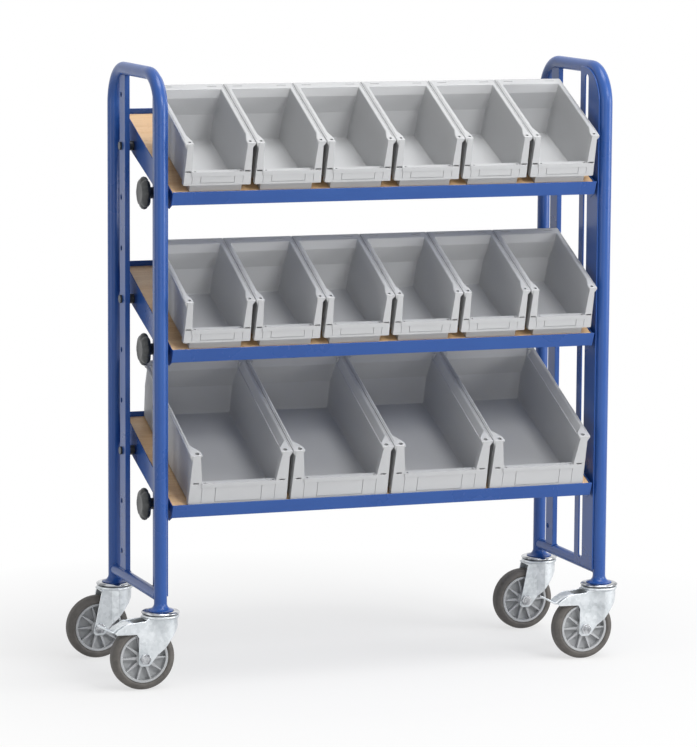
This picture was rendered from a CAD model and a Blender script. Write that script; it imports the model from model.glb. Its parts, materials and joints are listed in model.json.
import json
import math
import bpy
import bmesh
from mathutils import Matrix, Vector


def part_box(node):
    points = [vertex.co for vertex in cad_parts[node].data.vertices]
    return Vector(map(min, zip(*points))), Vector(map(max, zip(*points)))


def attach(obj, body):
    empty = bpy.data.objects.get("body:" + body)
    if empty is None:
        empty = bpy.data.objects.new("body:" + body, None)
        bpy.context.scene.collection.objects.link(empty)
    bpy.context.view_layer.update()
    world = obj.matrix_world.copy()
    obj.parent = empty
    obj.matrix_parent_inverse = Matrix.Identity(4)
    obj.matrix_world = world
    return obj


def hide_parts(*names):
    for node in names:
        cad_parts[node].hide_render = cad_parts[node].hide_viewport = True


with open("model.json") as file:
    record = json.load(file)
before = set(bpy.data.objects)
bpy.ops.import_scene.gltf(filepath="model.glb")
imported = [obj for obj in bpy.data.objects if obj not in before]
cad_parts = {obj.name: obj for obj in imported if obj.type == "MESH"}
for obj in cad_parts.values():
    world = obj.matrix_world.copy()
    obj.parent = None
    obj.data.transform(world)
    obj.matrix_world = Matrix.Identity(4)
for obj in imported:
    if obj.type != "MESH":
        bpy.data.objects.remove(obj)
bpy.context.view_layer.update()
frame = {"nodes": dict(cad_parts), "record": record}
nodes = frame["nodes"]
bodyOf = {n: b for b, names in frame["record"]["behaviour"]["bodies"].items() for n in names}
slotOf = {p["node"]: p["material_slot"] for p in frame["record"]["subparts"]}
print("frame loaded:", len(nodes), "nodes")


# shader values with operators, so that maths reads as maths
class Value:
    def __init__(self, finish, socket):
        self.finish, self.socket = finish, socket

    def calc(self, operation, other):
        return self.finish.add("ShaderNodeMath", {"operation": operation}, {0: self, 1: other})

    def __add__(self, other):
        return self.calc("ADD", other)

    def __sub__(self, other):
        return self.calc("SUBTRACT", other)

    def __mul__(self, other):
        return self.calc("MULTIPLY", other)


class Finish:
    def __init__(self, name, world=None):
        self.owner = world or bpy.data.materials.new(name)
        self.owner.use_nodes = True
        self.tree = self.owner.node_tree
        self.tree.nodes.clear()
        self.output = self.tree.nodes.new("ShaderNodeOutputWorld" if world else "ShaderNodeOutputMaterial")

    # any node: its type, its settings, then the values or links of its sockets
    def add(self, kind, settings=None, sockets=None, out=0):
        node = self.tree.nodes.new(kind)
        for key, value in (settings or {}).items():
            setattr(node, key, value)
        for key, value in (sockets or {}).items():
            if isinstance(value, Value):
                self.tree.links.new(value.socket, node.inputs[key])
            else:
                node.inputs[key].default_value = value
        return Value(self, node.outputs[out])

    def place(self, scale=(1, 1, 1)):
        coords = self.add("ShaderNodeTexCoord", out="Object")
        return self.add("ShaderNodeMapping", sockets={"Vector": coords, "Scale": scale})

    def noise(self, where, scale, detail=2.0, roughness=0.5):
        return self.add("ShaderNodeTexNoise", sockets={
            "Vector": where, "Scale": scale, "Detail": detail, "Roughness": roughness}, out="Fac")

    def level(self, value, low, high, outLow=0.0, outHigh=1.0):
        return self.add("ShaderNodeMapRange", {"clamp": True}, {
            "Value": value, "From Min": low, "From Max": high, "To Min": outLow, "To Max": outHigh})

    def blend(self, factor, a, b):
        return self.add("ShaderNodeMix", {"data_type": "RGBA"}, {0: factor, 6: a, 7: b}, out=2)

    def bump(self, height, strength, distance):
        return self.add("ShaderNodeBump", sockets={
            "Height": height, "Strength": strength, "Distance": distance})

    # what the camera, a mirror and a glass see, as against what lights the object
    def seen(self):
        kinds = ("Is Camera Ray", "Is Glossy Ray", "Is Transmission Ray")
        rays = [self.add("ShaderNodeLightPath", out=kind) for kind in kinds]
        return rays[0] + rays[1] + rays[2]

    def show(self, shader):
        self.tree.links.new(shader.socket, self.output.inputs["Surface"])
        return self.owner

    def principled(self, **sockets):
        named = {key.replace("_", " "): value for key, value in sockets.items()}
        return self.add("ShaderNodeBsdfPrincipled", sockets=named)

    def surface(self, **sockets):
        return self.show(self.principled(**sockets))


# screen colour, 0 to 255, as the linear colour that a shader takes
def rgb(r, g, b):
    return tuple(((c / 255 + 0.055) / 1.055) ** 2.4 if c > 10 else c / 255 / 12.92 for c in (r, g, b)) + (1,)


# In the finishes below, a noise is its scale, detail and roughness, and a bump its strength and depth in metres.

# gloss powder coat with a little orange peel and handling marks
bluePaint = {
    "deep": (32, 70, 139), "light": (44, 86, 154), "rough": (0.24, 0.36),
    "cloud": (7, 4), "cloudRange": (0.3, 0.7), "peel": (700, 2), "peelBump": (0.08, 0.0004),
    "rub": (4, 6, 0.6), "rubStretch": (30, 30, 9), "rubRange": (0.62, 0.75), "rubRough": 0.08,
    "specular": 0.34, "coat": 0.08, "coatRough": 0.08}


def makeBluePaint():
    s, f = bluePaint, Finish("bluePaint")
    here = f.place()
    cloud = f.noise(here, *s["cloud"])
    peel = f.noise(here, *s["peel"])
    rubbed = f.level(f.noise(f.place(s["rubStretch"]), *s["rub"]), *s["rubRange"])
    return f.surface(
        Base_Color=f.blend(cloud, rgb(*s["deep"]), rgb(*s["light"])),
        Roughness=f.level(cloud, *s["cloudRange"], *s["rough"]) + rubbed * s["rubRough"],
        Normal=f.bump(peel, *s["peelBump"]), Specular_IOR_Level=s["specular"],
        Coat_Weight=s["coat"], Coat_Roughness=s["coatRough"])


# moulded plastic of the bins, with a fine spark-eroded grain
binPlastic = {
    "pale": (184, 185, 186), "dull": (176, 177, 179), "rough": (0.4, 0.52),
    "cloud": (9, 3), "cloudRange": (0.3, 0.7), "grain": (1600, 2), "grainBump": (0.12, 0.0003),
    "scuff": (6, 5, 0.65), "scuffStretch": (8, 40, 40), "scuffRange": (0.64, 0.74), "scuffGloss": 0.06}


def makeBinPlastic():
    s, f = binPlastic, Finish("binPlastic")
    here = f.place()
    cloud = f.noise(here, *s["cloud"])
    grain = f.noise(here, *s["grain"])
    scuff = f.level(f.noise(f.place(s["scuffStretch"]), *s["scuff"]), *s["scuffRange"])
    return f.surface(
        Base_Color=f.blend(cloud, rgb(*s["dull"]), rgb(*s["pale"])),
        Roughness=f.level(cloud, *s["cloudRange"], *s["rough"]) - scuff * s["scuffGloss"],
        Normal=f.bump(grain, *s["grainBump"]))


# beech with long soft figure and short dark flecks along the trolley
beechWood = {
    "pale": (244, 209, 165), "warm": (224, 180, 131), "fleckTone": (176, 128, 84), "rough": (0.36, 0.5),
    "figure": (3.2, 6, 0.55), "figureStretch": (1.2, 26, 26), "figureRange": (0.3, 0.72),
    "fibre": (1.6, 4, 0.6), "fibreStretch": (14, 420, 420), "fibreRange": (0.45, 0.8), "fibreShare": 0.45,
    "roughRange": (0.3, 0.8), "fleck": (1.7, 2), "fleckStretch": (50, 620, 620), "fleckRange": (0.62, 0.7),
    "fleckShare": 0.55, "fleckDepth": 0.5, "bump": (0.15, 0.0004), "coat": 0.15, "coatRough": 0.25}


def makeBeech():
    s, f = beechWood, Finish("beechWood")
    figure = f.noise(f.place(s["figureStretch"]), *s["figure"])
    fibre = f.noise(f.place(s["fibreStretch"]), *s["fibre"])
    fleck = f.level(f.noise(f.place(s["fleckStretch"]), *s["fleck"]), *s["fleckRange"])
    body = f.blend(f.level(figure, *s["figureRange"]), rgb(*s["pale"]), rgb(*s["warm"]))
    streaked = f.blend(f.level(fibre, *s["fibreRange"], 0, s["fibreShare"]), body, rgb(*s["warm"]))
    return f.surface(
        Base_Color=f.blend(fleck * s["fleckShare"], streaked, rgb(*s["fleckTone"])),
        Roughness=f.level(fibre, *s["roughRange"], *s["rough"]),
        Normal=f.bump(fibre - fleck * s["fleckDepth"], *s["bump"]),
        Coat_Weight=s["coat"], Coat_Roughness=s["coatRough"])


# dull zinc plating, clouded and faintly spangled
zincPlate = {
    "bright": (230, 234, 237), "dull": (172, 178, 182), "metal": 0.75, "rough": (0.46, 0.3),
    "cloud": (26, 5, 0.6), "cloudRange": (0.3, 0.7), "cloudShare": 0.7, "cloudBump": (0.08, 0.0006),
    "spangleScale": 150, "spangleShare": 0.3,
    "scratch": (3, 3), "scratchStretch": (20, 20, 500), "scratchRange": (0.6, 0.72), "scratchRough": 0.1}


def makeZinc():
    s, f = zincPlate, Finish("zincPlate")
    here = f.place()
    cloud = f.noise(here, *s["cloud"])
    spangle = f.add("ShaderNodeTexVoronoi", sockets={"Vector": here, "Scale": s["spangleScale"]}, out="Color")
    patch = f.add("ShaderNodeSeparateColor", sockets={"Color": spangle}, out="Red")
    tone = f.level(cloud, *s["cloudRange"]) * s["cloudShare"] + patch * s["spangleShare"]
    scratch = f.level(f.noise(f.place(s["scratchStretch"]), *s["scratch"]), *s["scratchRange"])
    return f.surface(
        Base_Color=f.blend(tone, rgb(*s["dull"]), rgb(*s["bright"])), Metallic=s["metal"],
        Roughness=f.level(tone, 0, 1, *s["rough"]) + scratch * s["scratchRough"],
        Normal=f.bump(cloud, *s["cloudBump"]))


# bright plated swivel rings and bolts
brightSteel = {
    "light": (206, 208, 211), "dark": (120, 122, 126), "rough": (0.06, 0.16),
    "cloud": (60, 4), "toneRange": (0.35, 0.62), "roughRange": (0.3, 0.7),
    "turned": (2, 2), "turnedStretch": (30, 30, 900), "turnedBump": (0.04, 0.0003)}


def makeBrightSteel():
    s, f = brightSteel, Finish("brightSteel")
    cloud = f.noise(f.place(), *s["cloud"])
    turned = f.noise(f.place(s["turnedStretch"]), *s["turned"])
    return f.surface(
        Base_Color=f.blend(f.level(cloud, *s["toneRange"]), rgb(*s["dark"]), rgb(*s["light"])), Metallic=1.0,
        Roughness=f.level(cloud, *s["roughRange"], *s["rough"]), Normal=f.bump(turned, *s["turnedBump"]))


# grey non-marking rubber with a dusty bloom
tyreRubber = {
    "deep": (78, 75, 72), "dusty": (104, 100, 96), "rough": (0.62, 0.82),
    "dust": (45, 6, 0.65), "dustRange": (0.4, 0.75), "grain": (900, 3), "grainBump": (0.2, 0.0004)}


def makeTyreRubber():
    s, f = tyreRubber, Finish("tyreRubber")
    here = f.place()
    dust = f.level(f.noise(here, *s["dust"]), *s["dustRange"])
    grain = f.noise(here, *s["grain"])
    return f.surface(
        Base_Color=f.blend(dust, rgb(*s["deep"]), rgb(*s["dusty"])),
        Roughness=f.level(dust, 0, 1, *s["rough"]), Normal=f.bump(grain, *s["grainBump"]))


# grey moulded wheel centre
rimPlastic = {
    "deep": (155, 157, 159), "pale": (179, 181, 183), "rough": (0.42, 0.56),
    "cloud": (22, 4), "cloudRange": (0.3, 0.7), "grain": (1300, 2), "grainBump": (0.12, 0.0003)}


def makeRimPlastic():
    s, f = rimPlastic, Finish("rimPlastic")
    here = f.place()
    cloud = f.noise(here, *s["cloud"])
    grain = f.noise(here, *s["grain"])
    return f.surface(
        Base_Color=f.blend(cloud, rgb(*s["deep"]), rgb(*s["pale"])),
        Roughness=f.level(cloud, *s["cloudRange"], *s["rough"]), Normal=f.bump(grain, *s["grainBump"]))


# black plastic of the knobs and sleeves
blackPlastic = {
    "deep": (40, 43, 44), "worn": (64, 67, 68), "rough": (0.36, 0.55),
    "wear": (40, 5, 0.6), "wearRange": (0.45, 0.8), "grain": (1100, 2), "grainBump": (0.18, 0.0004)}


def makeBlackPlastic():
    s, f = blackPlastic, Finish("blackPlastic")
    here = f.place()
    wear = f.level(f.noise(here, *s["wear"]), *s["wearRange"])
    grain = f.noise(here, *s["grain"])
    return f.surface(
        Base_Color=f.blend(wear, rgb(*s["deep"]), rgb(*s["worn"])),
        Roughness=f.level(wear, 0, 1, *s["rough"]), Normal=f.bump(grain, *s["grainBump"]))


finishes = {
    "blue_paint": makeBluePaint(), "bin_plastic": makeBinPlastic(), "beech": makeBeech(), "zinc": makeZinc(),
    "tyre_rubber": makeTyreRubber(), "rim_plastic": makeRimPlastic(), "black_plastic": makeBlackPlastic()}
finishes["black_steel"] = finishes["black_plastic"]
brightMetal = makeBrightSteel()
print("finishes made")


def finishOf(name):
    return brightMetal if name.endswith(("_head", "_axle")) else finishes[slotOf[name]]


for name, obj in nodes.items():
    obj.data.materials.clear()
    obj.data.materials.append(finishOf(name))


# puts a new mesh in the place of a CAD piece, on its body and with its finish
def takePlace(mesh, name, ending):
    mesh.materials.append(finishOf(name))
    piece = bpy.data.objects.new(name + ending, mesh)
    bpy.context.scene.collection.objects.link(piece)
    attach(piece, bodyOf[name])
    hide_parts(name)
    return piece


# widths of the rounded edges by piece; the bins keep their shallow creases and narrow slots crisp
rounding = {
    "merge": 2e-6, "hardAngle": 24, "share": 0.42, "segments": 2, "normalWeight": 90,
    "crease": 40, "binCrease": 5, "binCrisp": 0.0028, "widths": {
        "_bin_": 0.0016, "_tray": 0.0012, "_board": 0.001, "_fork": 0.001, "_pedal": 0.001,
        "front_plates": 0.0008, "_rim": 0.0008, "_tyre": 0.0015, "_head": 0.0008, "_axle": 0.0006,
        "_pins": 0.0006, "_hoop": 0.0008, "cross_tubes": 0.0006, "rear_rails": 0.0008}}


# a merged copy of a CAD piece with its hard edges rounded, as far as its small steps allow
def makeRounded(name, width, crease, crisp):
    s = rounding
    bm = bmesh.new()
    bm.from_mesh(nodes[name].data)
    bmesh.ops.remove_doubles(bm, verts=bm.verts, dist=s["merge"])
    weight = bm.edges.layers.float.new("bevel_weight_edge")
    least = math.radians(s["hardAngle"])
    hard = {e for e in bm.edges if len(e.link_faces) == 2 and e.calc_face_angle(0) > least}
    for e in hard:
        shortest = min(n.calc_length() for v in e.verts for n in v.link_edges if n in hard)
        e[weight] = min(1.0, s["share"] * shortest / width) if shortest > crisp else 0.0
    mesh = bpy.data.meshes.new(name + "_rounded")
    bm.to_mesh(mesh)
    bm.free()
    mesh.shade_smooth()
    mesh.set_sharp_from_angle(angle=math.radians(crease))
    piece = takePlace(mesh, name, "_rounded")
    bevel = piece.modifiers.new("roundEdges", "BEVEL")
    bevel.limit_method, bevel.width, bevel.segments = "WEIGHT", width, s["segments"]
    bevel.use_clamp_overlap, bevel.loop_slide, bevel.harden_normals = False, False, False
    smooth = piece.modifiers.new("flatFaces", "WEIGHTED_NORMAL")
    smooth.weight, smooth.keep_sharp = s["normalWeight"], True


for name in sorted(nodes):
    for part, width in rounding["widths"].items():
        if part in name:
            isBin = part == "_bin_"
            makeRounded(name, width, rounding["binCrease" if isBin else "crease"],
                        rounding["binCrisp"] if isBin else 0.0)
print("edges rounded")


# clamp knobs: a turned head on a neck, drawn in between its lobes, with its screw
knob = {
    "seat": 0.4457, "lobes": 8, "depth": 0.1, "gripFrom": 0.019, "gripOver": 0.008, "turns": 96,
    "merge": 1e-6, "crease": 50, "outline": (
        (-0.0167, 0), (-0.0167, 0.0036), (-0.0162, 0.004), (0, 0.004), (0, 0.0104), (0.0006, 0.011),
        (0.0135, 0.011), (0.016, 0.0122), (0.0176, 0.0158), (0.0183, 0.0225), (0.0194, 0.0272),
        (0.0221, 0.0304), (0.0261, 0.0315), (0.0302, 0.0301), (0.0332, 0.0264), (0.0349, 0.0217),
        (0.0354, 0.0188), (0.0351, 0.0165), (0.0347, 0.009), (0.0346, 0))}


def makeKnob(joint):
    s, name = knob, joint["child"]
    side = joint["axis"][0]
    axis = Vector(joint["pos_m"])
    midX = sum(corner[0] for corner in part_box("cross_tubes")) / 2
    bm = bmesh.new()
    line = [bm.verts.new((x, r, 0)) for x, r in s["outline"]]
    edges = [bm.edges.new(pair) for pair in zip(line, line[1:])]
    bmesh.ops.spin(bm, geom=line + edges, cent=(0, 0, 0), axis=(1, 0, 0), angle=2 * math.pi,
                   steps=s["turns"], use_merge=True)
    bmesh.ops.remove_doubles(bm, verts=bm.verts, dist=s["merge"])
    for v in bm.verts:
        r = math.hypot(v.co.y, v.co.z)
        reach = min(1.0, max(0.0, (r - s["gripFrom"]) / s["gripOver"]))
        hollow = 0.5 - 0.5 * math.cos(s["lobes"] * math.atan2(v.co.z, v.co.y))
        v.co.yz *= 1 - s["depth"] * reach * hollow ** 2
    bmesh.ops.scale(bm, vec=(side, 1, 1), verts=bm.verts)
    bmesh.ops.translate(bm, vec=(midX + side * s["seat"], axis.y, axis.z), verts=bm.verts)
    bmesh.ops.recalc_face_normals(bm, faces=bm.faces)
    mesh = bpy.data.meshes.new(name + "_turned")
    bm.to_mesh(mesh)
    bm.free()
    mesh.shade_smooth()
    mesh.set_sharp_from_angle(angle=math.radians(s["crease"]))
    takePlace(mesh, name, "_turned")


for joint in frame["record"]["behaviour"]["joints"]:
    if joint["name"].endswith("_knob_turn"):
        makeKnob(joint)
print("knobs turned")

# weld beads: rings where the cross tubes meet the posts, runs at the foot of the rails, stitches on the plates
welds = {
    "radius": 0.0018, "sides": 3, "ripple": 0.16, "rippleTurn": 2.1, "step": 0.0016, "ringSteps": 44,
    "postX": 0.458, "postY": 0.154, "postR": 0.0125, "railRuns": (-0.007, 0.003),
    "plateGap": 0.0114, "plateBack": 0.0075, "stitch": 0.03, "stitches": (0.22, 0.44, 0.66, 0.88, 1.08)}


def makeWelds():
    s = welds
    tubeLow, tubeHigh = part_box("cross_tubes")
    railLow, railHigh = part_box("rear_rails")
    midX, tubeZ = (tubeLow[0] + tubeHigh[0]) / 2, (tubeLow[2] + tubeHigh[2]) / 2
    tubeR = (tubeHigh[2] - tubeLow[2]) / 2
    curve = bpy.data.curves.new("weld_beads", "CURVE")
    curve.dimensions, curve.use_fill_caps = "3D", True
    curve.bevel_depth, curve.bevel_resolution = s["radius"], s["sides"]

    def run(points, closed=False):
        line = curve.splines.new("POLY")
        line.points.add(len(points) - 1)
        line.use_cyclic_u = closed
        for k, (point, place) in enumerate(zip(line.points, points)):
            point.co, point.radius = (*place, 1), 1 + s["ripple"] * math.sin(k * s["rippleTurn"])

    def straight(a, b):
        count = int((Vector(b) - Vector(a)).length / s["step"])
        run([Vector(a).lerp(Vector(b), k / count) for k in range(count + 1)])

    # one turn around a cross tube's end, on the round face of its post
    def ring(x, end):
        points = []
        for k in range(s["ringSteps"]):
            turn = k * 2 * math.pi / s["ringSteps"]
            across = tubeR * math.cos(turn)
            y = s["postY"] - math.sqrt(s["postR"] ** 2 - across ** 2)
            points.append((x + across, end * y, tubeZ + tubeR * math.sin(turn)))
        run(points, True)

    for side in (-1, 1):
        x = midX + side * s["postX"]
        for end in (-1, 1):
            ring(x, end)
        for across in s["railRuns"]:
            z = tubeZ + math.sqrt(tubeR ** 2 - across ** 2)
            straight((x + side * across, railLow[1], z), (x + side * across, railHigh[1], z))
        for z in s["stitches"]:
            at = (x - side * s["plateGap"], s["plateBack"] - s["postY"])
            straight((*at, z - s["stitch"] / 2), (*at, z + s["stitch"] / 2))
    shape = bpy.data.objects.new("beadCurve", curve)
    bpy.context.scene.collection.objects.link(shape)
    mesh = bpy.data.meshes.new_from_object(shape.evaluated_get(bpy.context.evaluated_depsgraph_get()))
    bpy.data.objects.remove(shape)
    mesh.shade_smooth()
    mesh.materials.clear()
    mesh.materials.append(finishes["blue_paint"])
    piece = bpy.data.objects.new("weld_beads", mesh)
    bpy.context.scene.collection.objects.link(piece)
    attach(piece, bodyOf["cross_tubes"])


makeWelds()
print("welds laid")


# camera at the photograph's place, found from the posts, holes, lips and wheels
view = {
    "azimuth": -20.0625, "elevation": 7.8403, "roll": 0.3643, "distance": 7.56446,
    "target": (0.02332, 0.0, 0.57091), "focalPixels": 3823.65, "imageWidth": 697,
    "sensorWidth": 36, "clipEnd": 100}


def makeCamera():
    s = view
    az, el = math.radians(s["azimuth"]), math.radians(s["elevation"])
    back = Vector((math.sin(az) * math.cos(el), -math.cos(az) * math.cos(el), math.sin(el)))
    right = Vector((math.cos(az), math.sin(az), 0))
    turned = Matrix((right, back.cross(right), back)).transposed()
    camera = bpy.data.cameras.new("camera")
    camera.sensor_fit, camera.sensor_width = "HORIZONTAL", s["sensorWidth"]
    camera.lens = s["sensorWidth"] * s["focalPixels"] / s["imageWidth"]
    camera.clip_end = s["clipEnd"]
    obj = bpy.data.objects.new("camera", camera)
    bpy.context.scene.collection.objects.link(obj)
    place = Matrix.Translation(Vector(s["target"]) + back * s["distance"])
    obj.matrix_world = place @ (turned @ Matrix.Rotation(math.radians(s["roll"]), 3, "Z")).to_4x4()
    bpy.context.scene.camera = obj


makeCamera()

# soft studio: five broad lamps, a pale room, and a floor that turns white away from the trolley
studio = {
    "room": 0.36, "aim": (0, 0, 0.6), "floorSize": 60.0, "floorColour": (222, 222, 222), "floorRough": 0.9,
    "floorWhite": (0.64, 1.0), "fade": (0.5, 1.2), "lamps": (
        {"name": "keyLamp", "at": (1.5, -4.2, 3.5), "size": 1.8, "power": 126},
        {"name": "sideLamp", "at": (4.4, -2.6, 1.3), "size": 2.0, "power": 105},
        {"name": "topLamp", "at": (0.6, -0.6, 4.4), "size": 2.2, "power": 96},
        {"name": "frontLamp", "at": (-1.2, -5.0, 1.0), "size": 2.4, "power": 24},
        {"name": "leftLamp", "at": (-4.6, -0.9, 0.9), "size": 2.0, "power": 24})}


def makeStudio():
    s, scene = studio, bpy.context.scene
    scene.world = scene.world or bpy.data.worlds.new("room")
    f = Finish("room", scene.world)
    glow = f.level(f.seen(), 0, 1, s["room"], 1.0)
    f.show(f.add("ShaderNodeBackground", sockets={"Color": (1, 1, 1, 1), "Strength": glow}))
    for each in s["lamps"]:
        lamp = bpy.data.lights.new(each["name"], "AREA")
        lamp.size, lamp.energy = each["size"], each["power"]
        obj = bpy.data.objects.new(each["name"], lamp)
        scene.collection.objects.link(obj)
        obj.location = each["at"]
        obj.rotation_euler = (Vector(each["at"]) - Vector(s["aim"])).to_track_quat("Z", "Y").to_euler()
    bm = bmesh.new()
    bmesh.ops.create_grid(bm, x_segments=1, y_segments=1, size=s["floorSize"] / 2)
    mesh = bpy.data.meshes.new("floor")
    bm.to_mesh(mesh)
    bm.free()
    f = Finish("paleFloor")
    matt = f.principled(Base_Color=rgb(*s["floorColour"]), Roughness=s["floorRough"])
    white = f.add("ShaderNodeEmission", sockets={"Color": (1, 1, 1, 1), "Strength": 1.0})
    away = f.add("ShaderNodeVectorMath", {"operation": "LENGTH"}, {0: f.place()}, out="Value")
    shown = f.seen() * f.level(away, *s["fade"], *s["floorWhite"])
    mesh.materials.append(f.show(f.add("ShaderNodeMixShader", sockets={0: shown, 1: matt, 2: white})))
    floor = bpy.data.objects.new("floor", mesh)
    scene.collection.objects.link(floor)


makeStudio()
bpy.context.scene.view_settings.view_transform = "Standard"
print("studio and camera set")
